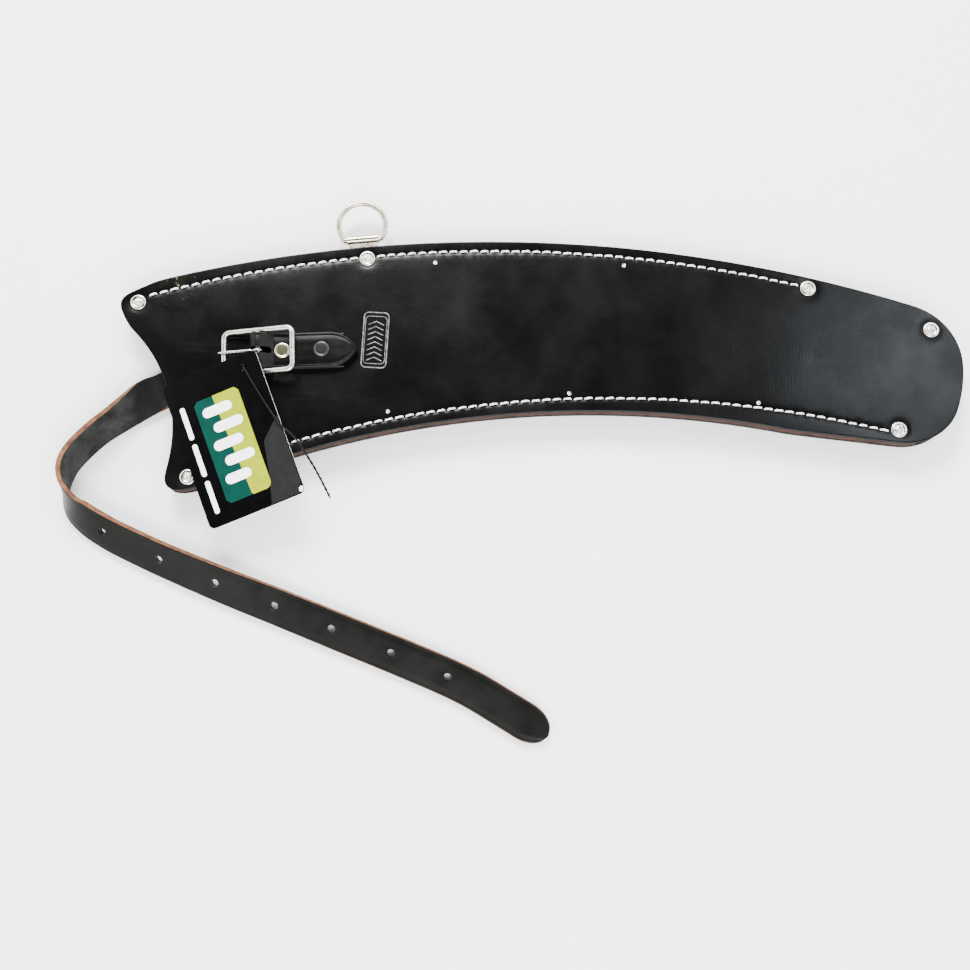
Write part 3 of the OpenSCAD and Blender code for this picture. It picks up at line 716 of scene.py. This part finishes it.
def stitch(x, y, a, z, up):
    """One stitch of twisted thread that dips into its holes."""
    a += math.radians(rng.uniform(2.5, 6.0))
    half = rng.uniform(1.60, 1.78)
    path = []
    for (u0, h0), (u1, h1) in zip(STITCH, STITCH[1:]):
        path += [(u0, h0), ((u0 + u1) / 2, (h0 + h1) / 2)]
    path.append(STITCH[-1])
    sides, verts, run = 10, [], 0.0
    aside = rng.uniform(-0.12, 0.12)
    phase = rng.uniform(0, 6.28)
    for i, (u, h) in enumerate(path):
        before, after = path[max(i - 1, 0)], path[min(i + 1, len(path) - 1)]
        du, dh = (after[0] - before[0]) * half, after[1] - before[1]
        size = math.hypot(du, dh)
        run += size / 2
        tu, th = du / size, dh / size
        for j in range(sides):
            q = 2 * math.pi * j / sides
            twist = 1 + 0.16 * math.cos(2 * q - run * 2.4 + phase)
            r = THREAD_R * twist * (1.0 if abs(u) < 0.85 else 0.92)
            flat, over = r * math.cos(q), r * math.sin(q)
            lx, ly, lz = u * half - over * th, aside + flat, h + over * tu
            verts += placed([(lx, ly, up * lz)], x, y, z, a)
    faces = tube_faces(len(path), sides)
    return verts, faces if up > 0 else [f[::-1] for f in faces]


for name, places, node in (("upper_thread", upper_places, "upper_stitching"),
                           ("lower_thread", lower_places, "lower_stitching")):
    thread = Build()
    for x, y, a in places:
        thread.add(*stitch(x, y, a, face_z, 1))
        thread.add(*stitch(x, y, a, back_z, -1))
    thread_piece = thread.make(name, [THREAD])
    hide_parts(node)
    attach(thread_piece, "scabbard")

# ---------------------------------------------------------------- rivets and nails

RIVET_SIDES = 36
# Rivet sections as (radius, height): rolled rim, peened centre and the burr at the back
RIM = [(0, -2.5), (1.4, -2.5), (4.0, -0.1), (4.1, 0.10), (4.05, 0.38),
       (3.8, 0.62), (3.35, 0.78), (2.9, 0.80), (2.5, 0.66), (2.25, 0.55)]
CENTRE = [(2.05, 0.62), (1.9, 0.95), (1.55, 1.15), (0.9, 1.20), (0.45, 1.12), (0, 1.1)]
BURR = [(0, -0.4), (0.6, -0.4), (1.3, -0.38), (1.65, -0.22), (1.75, 0.0), (2.6, 0.0),
        (3.4, 0.06), (3.55, 0.3), (3.5, 0.6), (1.4, 2.2), (0, 2.2)]


def rivet_faces(profile, split):
    """Material of each lathe face: 0 up to a ring, 1 past it."""
    rings = len(profile) - 2
    bands = [0 if i < split else 1 for i in range(rings - 1)]
    return [m for m in [0, *bands, 1] for _ in range(RIVET_SIDES)]


edge = Build()
under = Build()
for k, (x, y) in enumerate(EDGE_RIVETS):
    verts, faces = lathe(RIM + CENTRE, RIVET_SIDES, 0.10, k)
    head_mats = rivet_faces(RIM + CENTRE, len(RIM) - 1)
    edge.add(placed(verts, x, y, face_z - 0.12, k * 1.3), faces, head_mats)
    verts, faces = lathe(BURR, RIVET_SIDES, 0.06, k)
    under.add(placed(verts, x, y, back_z - 0.6, k), faces)
edge_piece = edge.make("edge_rivet_heads", [NICKEL, PEENED], 40)
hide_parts("edge_rivets")
under_piece = under.make("edge_rivet_burrs", [NICKEL], 40)
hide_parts("edge_burrs")
for piece in (edge_piece, under_piece):
    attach(piece, "scabbard")

# ---------------------------------------------------------------- dee ring and its clip

DEE = (-77.0, 119.7)
DEE_TURN = math.radians(5)
CORNER_R, BOW_R, BOW_H, WIRE = 1.8, 12.4, 8.0, 1.4
corner_x = math.sqrt((BOW_R - CORNER_R) ** 2 - (BOW_H - CORNER_R) ** 2)
bow_start = -math.degrees(math.asin((BOW_H - CORNER_R) / (BOW_R - CORNER_R)))


def in_dee(verts):
    return placed(verts, DEE[0], DEE[1], mid_z, DEE_TURN)


ring_path = ([(x, 0) for x in np.linspace(-corner_x, corner_x, 12)]
             + arc((corner_x, CORNER_R), CORNER_R, -90, bow_start, 8)[1:]
             + arc((0, BOW_H), BOW_R, bow_start, 180 - bow_start, 72)[1:]
             + arc((-corner_x, CORNER_R), CORNER_R, 180 - bow_start, 270, 8)[1:-1])
dee = Build()
verts, faces = sweep([(x, y, 0) for x, y in ring_path], WIRE, 24, closed=True)
dee.add(in_dee(verts), faces)
dee_piece = dee.make("dee_ring_wire", [WIRE_NICKEL])
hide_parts("dee_ring")
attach(dee_piece, "dee")

clip = Build()
barrel_in, barrel_out = WIRE + 0.05, WIRE + 0.85
length = corner_x - 0.3
steps = 40
barrel = [(-length, barrel_out - 0.18), (-length + 0.2, barrel_out), (-4, barrel_out), (4, barrel_out),
          (length - 0.2, barrel_out), (length, barrel_out - 0.18), (length, barrel_in), (-length, barrel_in)]
around = [2 * math.pi * j / steps for j in range(steps)]
loops = [[(x, r * math.cos(a), r * math.sin(a)) for a in around] for x, r in barrel]
clip_faces = []
for i in range(len(loops)):
    a, b = i * steps, ((i + 1) % len(loops)) * steps
    clip_faces += [(b + j, b + (j + 1) % steps, a + (j + 1) % steps, a + j) for j in range(steps)]
clip.add(in_dee([v for loop in loops for v in loop]), clip_faces)
plate = [(-7.9, -1.7), (-7.6, -4.5), (-6.9, -6.5), (-6.9, -18.8)]
plate += [(-x, y) for x, y in plate[::-1]]
verts, faces, _ = slab(resample(plate, 0.8), -0.75, 0.75, 0.2, 3)
clip.add(in_dee(verts), faces)
clip_piece = clip.make("dee_clip_plate", [WIRE_NICKEL], 40)
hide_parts("dee_clip")
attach(clip_piece, "scabbard")

# ---------------------------------------------------------------- ribbons of leather


def ribbon(mids, wides, deeps, half_w, half_t, crease=0.0):
    """A leather strip along a path, with eased edges: verts and faces. half_w has one value per ring."""
    verts = []
    for i in range(len(mids)):
        hw, k = half_w[i], min(1.0, half_w[i] / 4.0)
        e = hw - 0.75 * k
        half_top = [(hw * 0.5, 1.06), (e - 1.4 * k, 1.03), (e - 0.95 * k, 1.02 - crease)]
        half_top += [(e - 0.5 * k, 1.02), (e, 1.0)]
        top = [(-u, v) for u, v in half_top[::-1]] + [(0, 1.07)] + half_top
        side = [(hw - 0.22 * k, 0.80), (hw, 0.45), (hw + 0.05 * k, 0), (hw, -0.45), (hw - 0.22 * k, -0.80)]
        section = top + side + [(u, -v) for u, v in top[::-1]] + [(-u, -v) for u, v in side]
        for u, v in section:
            verts.append(mids[i] + u * wides[i] - v * half_t * deeps[i])
    return [tuple(v) for v in verts], tube_faces(len(mids), 32)


def drilled(piece, cutters):
    """Cuts holes with real walls and leaves the piece as plain mesh."""
    tool = cutters.make("cutters", [])
    boolean = piece.modifiers.new("holes", "BOOLEAN")
    boolean.operation, boolean.solver, boolean.object = "DIFFERENCE", "EXACT", tool
    settle(piece)
    bpy.data.objects.remove(tool)


def local_marks(piece, mids, wides, deeps, half_w, half_t):
    """Writes where each point lies across and through the strip, from -1 to 1, for the materials."""
    co = np.array([v.co for v in piece.data.vertices]) / MM
    across, through = np.zeros(len(co)), np.zeros(len(co))
    for k in range(0, len(co), 1000):
        q = co[k:k + 1000]
        near = np.argmin(((q[:, None, :] - mids[None]) ** 2).sum(2), axis=1)
        off = q - mids[near]
        across[k:k + 1000] = (off * wides[near]).sum(1) / np.maximum(half_w[near], 1.0)
        through[k:k + 1000] = (off * deeps[near]).sum(1) / half_t
    for name, values in (("across", across), ("through", through)):
        layer = piece.data.attributes.new(name, "FLOAT", "POINT")
        layer.data.foreach_set("value", values.astype(np.float32))


# The strap's route along its lower edge in mm: x, y, lean from upright and lift over the floor
ROUTE = [
    (-117, 63.2, -90, 1.0), (-135, 53.2, -90, 1.0), (-153, 43.2, -90, 1.0), (-171, 33.2, -90, 1.0),
    (-177.5, 29.8, -89, 0.9), (-184.5, 26.2, -66, 0.4), (-191.5, 22.8, -42, 0), (-199.5, 18.3, -29, 0),
    (-209.5, 11.8, -22, 0), (-220, 1.6, -18, 0), (-225.7, -6, -6, 0), (-228.5, -15.2, 16, 0),
    (-226.3, -26.6, 37, 0), (-218.5, -35.7, 47, 0), (-206.5, -43.8, 52, 0), (-194, -50.2, 54, 0),
    (-177.4, -58, 56, 0), (-146.7, -71.5, 64, 0), (-116.4, -83.9, 73, 0), (-85, -96.8, 78, 0),
    (-54, -109.4, 80, 0), (-27, -121.2, 82, 0), (-5.6, -133.7, 85, 0), (13.7, -145.7, 88, 0)]
STRAP_W, STRAP_T = 19.0, 3.6
NOSE, HOLE_PITCH, FIRST_HOLE, HOLE_COUNT, HOLE_R = 14.0, 31.5, 57.5, 8, 2.15


def spline(points, steps):
    """A smooth curve through every point."""
    p = np.array(points, float)
    out = []
    for i in range(len(p) - 1):
        a, b, c, d = p[max(i - 1, 0)], p[i], p[i + 1], p[min(i + 2, len(p) - 1)]
        for k in range(steps):
            t = k / steps
            square, cube = 2 * a - 5 * b + 4 * c - d, 3 * b - a - 3 * c + d
            out.append(0.5 * (2 * b + (c - a) * t + square * t * t + cube * t ** 3))
    out.append(p[-1])
    return np.array(out)


route = spline(ROUTE, 6)
ahead = np.vstack([route[1:], route[-1:]])[:, :2] - np.vstack([route[:1], route[:-1]])[:, :2]
ahead /= np.linalg.norm(ahead, axis=1)[:, None]
lean = np.radians(route[:, 2])
wide = np.stack([-ahead[:, 1] * np.sin(lean), ahead[:, 0] * np.sin(lean), np.cos(lean)], 1)
deep = np.stack([-ahead[:, 1] * np.cos(lean), ahead[:, 0] * np.cos(lean), -np.sin(lean)], 1)
lower_edge = np.stack([route[:, 0], route[:, 1], route[:, 3] + STRAP_T / 2 * abs(np.sin(lean))], 1)
mid = lower_edge + STRAP_W / 2 * wide
run = np.concatenate([[0], np.cumsum(np.linalg.norm(np.diff(mid, axis=0), axis=1))])


def along(table, s):
    return np.stack([np.interp(s, run, table[:, k]) for k in range(3)], 1)


stops = np.linspace(0, run[-1], 300)
strap_mid = along(mid, stops)
for _ in range(3):
    strap_mid[1:-1] = 0.5 * strap_mid[1:-1] + 0.25 * (strap_mid[2:] + strap_mid[:-2])
strap_wide, strap_deep = along(wide, stops), along(deep, stops)
strap_wide /= np.linalg.norm(strap_wide, axis=1)[:, None]
strap_deep -= strap_wide * (strap_deep * strap_wide).sum(1)[:, None]
strap_deep /= np.linalg.norm(strap_deep, axis=1)[:, None]
nose = np.clip((stops - run[-1] + NOSE) / NOSE, 0, 1)
strap_half = np.maximum(STRAP_W / 2 * np.sqrt(1 - nose ** 2), 0.8)

strap = Build()
strap.add(*ribbon(strap_mid, strap_wide, strap_deep, strap_half, STRAP_T / 2 * 0.95, 0.05))
strap_piece = strap.make("leg_strap_leather", [STRAP])
punches = Build()
for k in range(HOLE_COUNT):
    s = run[-1] - FIRST_HOLE - k * HOLE_PITCH
    i = int(np.argmin(abs(stops - s)))
    m, d = Vector(strap_mid[i]), Vector(strap_deep[i])
    verts, faces = sweep([m - 5 * d, m + 5 * d], HOLE_R, 24, up=tuple(strap_wide[i]))
    punches.add(verts, faces)
drilled(strap_piece, punches)
local_marks(strap_piece, strap_mid, strap_wide, strap_deep, strap_half, STRAP_T / 2)
sharpen(strap_piece, 50)
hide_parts("strap_upper", "strap_bend", "strap_lower")
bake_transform(strap_piece)

# ---------------------------------------------------------------- chape, buckle and tongue

BUCKLE = (-128.5, 55.2)
BUCKLE_TURN = math.radians(2.2)
BAR_Z = face_z + 4.8
BAR_X, SIDE_Y, FRAME_R = 18.35, 11.05, 3.0
TILT = math.asin((BAR_Z - face_z - WIRE - 0.05) / BAR_X)
CHAPE_L, CHAPE_W = 50.5, 18.6
CHAPE_RIVETS = (12.3, 32.3)


def in_chape(verts):
    return placed(verts, BUCKLE[0], BUCKLE[1], 0, BUCKLE_TURN)


fold_z = face_z + 4.3
side_path = [(x, face_z + 1.0) for x in (43.5, 30, 16, 3)]
side_path += arc((0, fold_z), 3.3, -90, -298, 18)
side_path += [(4.2, face_z + 5.5), (6.2, face_z + 3.9), (7.8, face_z + 3.2)]
side_path += [(x, face_z + 3.0) for x in (10, 24, 38, CHAPE_L)]
side = resample(side_path, 0.7, closed=False)
for _ in range(4):
    side[1:-1] = 0.5 * side[1:-1] + 0.25 * (side[2:] + side[:-2])
ahead = np.gradient(side, axis=0)
ahead /= np.linalg.norm(ahead, axis=1)[:, None]
chape_mid = np.stack([side[:, 0], np.zeros(len(side)), side[:, 1]], 1)
chape_wide = np.tile([0.0, 1.0, 0.0], (len(side), 1))
chape_deep = np.stack([ahead[:, 1], np.zeros(len(side)), -ahead[:, 0]], 1)
half, r = CHAPE_W / 2, 16.0
nose_x = CHAPE_L - math.sqrt(r * r - (r - half) ** 2)
on_top = np.arange(len(side)) > len(side) // 2
reach = np.clip(side[:, 0] - nose_x, 0, CHAPE_L - nose_x)
chape_half = np.where(on_top, np.sqrt(np.maximum(r * r - reach ** 2, 0)) - (r - half), half)
chape_half = np.maximum(chape_half, 0.7)
chape = Build()
chape.add(*ribbon(chape_mid, chape_wide, chape_deep, chape_half, 0.97, 0.16))
chape_piece = chape.make("chape_leather", [CHAPE])
slot = Build()
stadium = [(-9, -1.7)] + arc((5.3, 0), 1.7, -90, 90, 12) + [(-9, 1.7)]
slot_verts = [(x, y, z) for z in (face_z + 2.07, face_z + 20) for x, y in stadium]
slot.add(slot_verts, tube_faces(2, len(stadium)))
drilled(chape_piece, slot)
local_marks(chape_piece, chape_mid, chape_wide, chape_deep, chape_half, 1.0)
sharpen(chape_piece, 45)
to_buckle = Matrix.Translation((BUCKLE[0] * MM, BUCKLE[1] * MM, 0))
chape_piece.data.transform(to_buckle @ Matrix.Rotation(BUCKLE_TURN, 4, "Z"))
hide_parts("chape")
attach(chape_piece, "scabbard")

CAP = [(0, -1.5), (3.3, -1.5), (4.0, -0.05), (4.1, 0.12), (4.05, 0.4),
       (3.85, 0.62), (3.5, 0.74), (3.25, 0.74), (3.05, 0.66)]
DOME = [(2.95, 0.72), (2.4, 0.84), (1.5, 0.94), (0.7, 0.98), (0, 1.0)]
caps = Build()
# The first rivet's dome is painted olive as a reflection; the second has a black dome and a dull rim
for k, x in enumerate(CHAPE_RIVETS):
    verts, faces = lathe(CAP + DOME, RIVET_SIDES, 0.05, k)
    rim_mat, dome_mat = 3 * k, 1 + k
    mats = [rim_mat if m == 0 else dome_mat for m in rivet_faces(CAP + DOME, len(CAP) - 1)]
    caps.add(in_chape(placed(verts, x, 0, face_z + 4.0)), faces, mats)
caps_piece = caps.make("chape_rivet_caps", [NICKEL, OLIVE_PAINTED_REFLECTION, DARK_CAP, DULL_NICKEL], 40)
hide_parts("chape_rivets")
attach(caps_piece, "scabbard")


def in_buckle(verts):
    c, s = math.cos(TILT), math.sin(TILT)
    return in_chape([(c * x - s * z, y, BAR_Z + s * x + c * z) for x, y, z in verts])


frame_path = resample(rounded(-BAR_X, -SIDE_Y, BAR_X, SIDE_Y, FRAME_R, 8), 0.9)
buckle = Build()
verts, faces = sweep([(x, y, 0) for x, y in frame_path], WIRE, 20, closed=True)
buckle.add(in_buckle(verts), faces)
verts, faces = sweep([(0, y, 0) for y in np.linspace(-SIDE_Y, SIDE_Y, 16)], WIRE * 0.98, 20, up=(0, 0, 1))
buckle.add(in_buckle(verts), faces)
buckle_piece = buckle.make("buckle_frame_wire", [SATIN], 60)
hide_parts("buckle_frame")
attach(buckle_piece, "buckle")

tongue = Build()
eye = [(2.05 * math.cos(a), 0, 2.05 * math.sin(a)) for a in np.radians(np.linspace(-75, 200, 26))]
shank = [(-x, 0, 1.15 + (x / BAR_X) * 1.25) for x in np.linspace(2.6, 20.4, 12)]
path = eye + shank
radii = [0.58] * 8 + list(np.linspace(0.6, 0.92, 18))
radii += list(np.linspace(0.92, 0.72, 10)) + [0.55, 0.25]
verts, faces = sweep(path, radii, 14, up=(0, 1, 0))
tongue.add(in_buckle(verts), faces)
tongue_piece = tongue.make("buckle_tongue_wire", [SATIN], 60)
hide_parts("buckle_tongue")
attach(tongue_piece, "tongue")

# ---------------------------------------------------------------- embossed mark

mark = Build()
CHEVRONS, CHEVRON_PITCH, FIRST_CHEVRON = 8, 2.75, -10.2


def bead(points, closed=False, radius=0.34):
    verts, faces = sweep([(x, y, 0) for x, y in points], radius, 8, closed=closed)
    mark.add(placed(verts, -69.2, 62.6, face_z - 0.16, math.radians(-3)), faces)


mark_ring = resample(rounded(-6.4, -14.8, 6.4, 14.8, 2.2, 5), 1.2)
bead(mark_ring, True, 0.36)
bead(mark_ring * 0.86, True, 0.22)
for k in range(CHEVRONS):
    y = FIRST_CHEVRON + k * CHEVRON_PITCH
    bead([(-4.0, y - 0.9), (-2, y), (0, y + 0.95), (2, y), (4.0, y - 0.9)], radius=0.30)
mark_piece = mark.make("embossed_chevrons", [EMBOSS])
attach(mark_piece, "scabbard")

# ---------------------------------------------------------------- hang tag and fastener

TAG = (-134.2, 45.0, face_z + 9.7)
TAG_W, TAG_H, TAG_T, TAG_R = 52.0, 78.5, 0.6, 3.0
TAG_RIGHT, TAG_TOP = 8.4, 7.0
tag_matrix = Matrix.Identity(3)
for degrees, axis in ((20.8, "Z"), (1.5, "X"), (-9, "Y")):
    tag_matrix = tag_matrix @ Matrix.Rotation(math.radians(degrees), 3, axis)
left, low = TAG_RIGHT - TAG_W, TAG_TOP - TAG_H


def from_tag(x, y, h):
    return tuple(Vector(TAG) + tag_matrix @ Vector((x, y, h)))


def on_card(points):
    """Puts card points (x, y, height) in the row frame, with the card's slight curl."""
    out = []
    for x, y, h in points:
        u = (x - (left + TAG_RIGHT) / 2) / (TAG_W / 2)
        v = (y - (low + TAG_TOP) / 2) / (TAG_H / 2)
        curl = 0.5 * (u * u - 0.5) * (1 - v) * 0.5 - 0.3 * (v * v - 0.5)
        out.append(from_tag(x, y, h + curl))
    return out


card_ring = resample(rounded(left, low, TAG_RIGHT, TAG_TOP, TAG_R, 8), 1.0)
card = Build()
verts, faces, mats = slab(card_ring, 0, TAG_T, 0.06, 3, wall=1)
card.add(on_card(verts), faces, mats)
card_piece = card.make("hang_tag_card", [CARD, CORE], 40)
hole_tool = Build()
around = np.linspace(0, 2 * math.pi, 25)[:-1]
hole_verts = [from_tag(2 * math.cos(a), 2 * math.sin(a), h) for h in (-3, 3) for a in around]
hole_tool.add(hole_verts, tube_faces(2, len(around)))
drilled(card_piece, hole_tool)
sharpen(card_piece, 40)
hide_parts("hang_tag")
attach(card_piece, "tag")

art = Build()
INKS = [TEAL, YELLOW, WHITE, CARD_PAINTED_SHEEN, CORE]


def print_shape(points, mat, height, step=1.5):
    ring = resample(points, step)
    flat, tris = fill(ring, grid_points(ring, 4.0), 1.5)
    out = [f if faces_up(flat, f) else f[::-1] for f in tris]
    art.add(on_card([(x, y, TAG_T + height) for x, y in flat]), out, INKS.index(mat))


# The card's lower right corner is rubbed to its core, beside a paler grey patch painted on the black print
# as a sheen: a painted reflection
right = TAG_RIGHT
print_shape([(-10, low + 0.6), (right - 3, low + 0.6), (right - 0.6, low + 6), (right - 0.6, low + 42),
             (-3, low + 32), (-6, low + 15)], CARD_PAINTED_SHEEN, 0.012)
print_shape([(-31.0, -9.5), (-29.0, -7.5), (-20.5, -7.5), (-17.5, -62.5), (-29.0, -62.5),
             (-31.0, -60.5)], TEAL, 0.02)
print_shape([(-20.5, -7.5), (-8.5, -7.5), (-6.5, -9.5), (-6.5, -60.5), (-8.5, -62.5),
             (-17.5, -62.5)], YELLOW, 0.02)
print_shape([(right - 0.5, low + 3.4), (right - 1.2, low + 3.9), (right - 2.6, low + 3.2),
             (right - 2.9, low + 1.4), (right - 1.7, low + 0.9), (right - 0.6, low + 2.0)], CORE, 0.03, 0.5)
for y, x0, x1 in ((-15, -28, -12), (-24, -25, -9), (-33, -28, -12), (-42, -25, -9), (-51, -28, -14)):
    print_shape(rounded(x0, y - 2.6, x1, y + 2.6, 2.4, 6), WHITE, 0.05)
for y in (-7.5, -27.5, -47.5):
    print_shape(rounded(-38.6, y - 17.5, -36.0, y, 1.0, 6), WHITE, 0.05, 0.9)
art_piece = art.make("hang_tag_print", INKS)
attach(art_piece, "tag")

LOOP = [
    (-134.2, 45.9, 26.6), (-134.3, 46.1, 25.2), (-134.6, 46.8, 22.5), (-134.8, 46.8, 19.5),
    (-134.9, 46.0, 17.5), (-134.9, 44.0, 16.9), (-134.8, 41.9, 17.5), (-134.7, 41.0, 19.6),
    (-134.5, 41.7, 22.2), (-134.3, 43.6, 24.6), (-134.2, 44.1, 26.4)]
TAIL = [
    (-134.2, 44.2, 26.2), (-133.3, 43.2, 27.4), (-124.2, 28.5, 27.2), (-115.2, 15.6, 27.4),
    (-107.2, 8.1, 27.3), (-100.8, -1.1, 25.0), (-96.0, -9.1, 21.8), (-89.9, -20.8, 18.0)]
TAIL_STEP, BARB_PITCH, FIRST_BARB = 0.5, 3.0, 24
cord = Build()
cord.add(*sweep(spline(LOOP, 5), 0.55, 12, up=(1, 0, 0)))
tail_path = resample([tuple(p) for p in spline(TAIL, 8)], TAIL_STEP, closed=False)
barbs = []
for i in range(len(tail_path)):
    s = i * TAIL_STEP
    barbs.append(0.42 + (0.30 * (s % BARB_PITCH) / BARB_PITCH if s > FIRST_BARB else 0.05))
cord.add(*sweep(tail_path, barbs, 12))
cord_piece = cord.make("tag_fastener_tail", [PLASTIC])
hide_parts("tag_fastener")
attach(cord_piece, "scabbard")

# ---------------------------------------------------------------- CAD nodes that stay, floor, finish

for name in ("tack_nails", "chape_burrs", "strap_rivets", "strap_burrs"):
    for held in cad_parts[name].material_slots:
        held.link = "OBJECT"
        held.material = PEENED if name == "tack_nails" else NICKEL

FLOOR_HALF = 6000
floor_corners = [(x * FLOOR_HALF, y * FLOOR_HALF, 0) for x, y in ((-1, -1), (1, -1), (1, 1), (-1, 1))]
floor = add_mesh("floor", floor_corners, [(0, 1, 2, 3)], [FLOOR])
